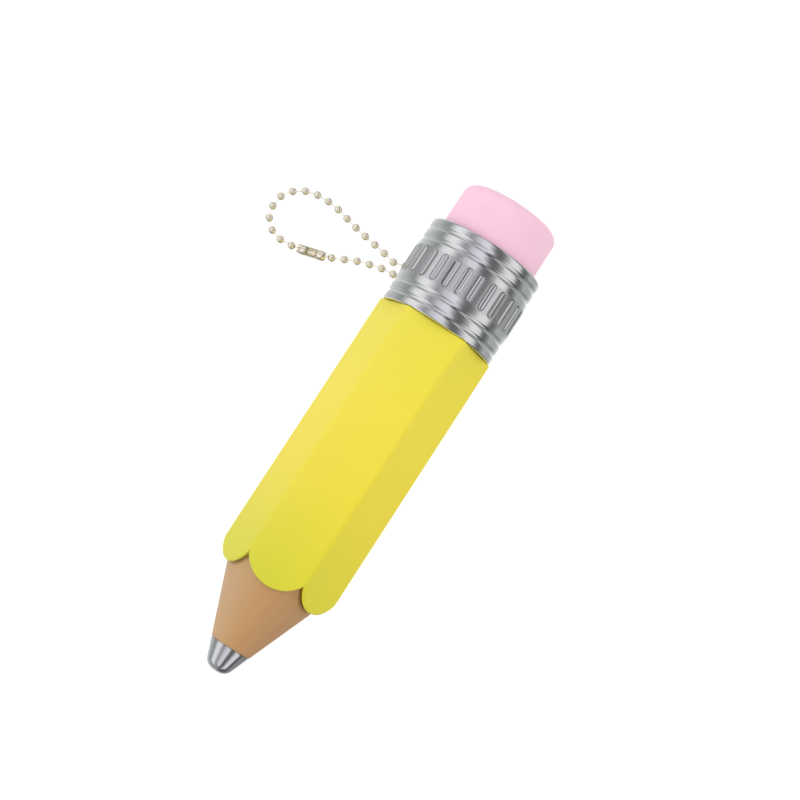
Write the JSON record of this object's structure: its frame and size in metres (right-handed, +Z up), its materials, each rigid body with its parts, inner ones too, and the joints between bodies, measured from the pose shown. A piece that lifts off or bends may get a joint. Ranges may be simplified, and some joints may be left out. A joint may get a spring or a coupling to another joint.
{
  "type": "mechanical pencil",
  "caption": "Jumbo push-button pencil: hexagonal barrel, metal nose, slotted ferrule, pull-off eraser over a return-sprung button, and a ball-chain key loop.",
  "frame": {"origin": "on the surface that the pencil lies on, under the middle of its length", "axes": "+X along the pencil from the nose towards the eraser, +Z up, +Y towards the side where the chain lies"},
  "size_m": [0.1544, 0.0809, 0.0359],
  "materials": {
    "polished_metal": "polished",
    "tan_cone": "matte, wood-coloured",
    "yellow_coat": "soft-touch matte",
    "turned_aluminium": "turned, satin band",
    "pink_rubber": "matte",
    "nickel_wire": "nickel plated",
    "nickel_chain": "warm nickel plate",
    "white_plastic": "moulded",
    "clear_plastic": "translucent moulded",
    "brass": "turned",
    "spring_steel": "drawn wire",
    "black_rubber": "matte",
    "graphite": "graphite"
  },
  "bodies": {
    "barrel": {"tip": "polished_metal", "lead_retainer": "black_rubber", "nose_cone": "tan_cone", "barrel_shell": "yellow_coat", "ferrule": "turned_aluminium", "chain_lug": "nickel_wire", "ball_chain": "nickel_chain", "chain_connector": "nickel_chain", "chuck_sleeve": "white_plastic", "sleeve_gland": "brass", "chuck_spring": "spring_steel", "mid_guide": "white_plastic", "rear_bushing": "white_plastic"},
    "push_unit": {"push_button": "white_plastic", "grip_ring": "black_rubber", "lead_tube": "clear_plastic", "chuck_holder": "white_plastic", "chuck": "brass", "spring_washer": "spring_steel", "spare_leads": "graphite"},
    "eraser_cap": {"eraser": "pink_rubber"},
    "clutch": {"clutch_ring": "brass"},
    "writing_lead": {"lead": "graphite"}
  },
  "joints": [
    {"name": "eraser_push", "type": "slide", "parent": "barrel", "child": "push_unit", "axis": [-1, 0, 0], "range_m": [0, 0.005], "stiffness_N_per_m": 900, "springref_m": -0.003, "deforming": ["chuck_spring"]},
    {"name": "eraser_pull", "type": "slide", "parent": "push_unit", "child": "eraser_cap", "axis": [1, 0, 0], "range_m": [0, 0.0095]},
    {"name": "clutch_slide", "type": "slide", "parent": "barrel", "child": "clutch", "axis": [-1, 0, 0], "range_m": [0, 0.00125]},
    {"name": "lead_feed", "type": "slide", "parent": "barrel", "child": "writing_lead", "axis": [-1, 0, 0], "range_m": [0, 0.007]}
  ],
  "couplings": [
    {"joint": "clutch_slide", "follows": "eraser_push", "ratio": 0.25}
  ]
}
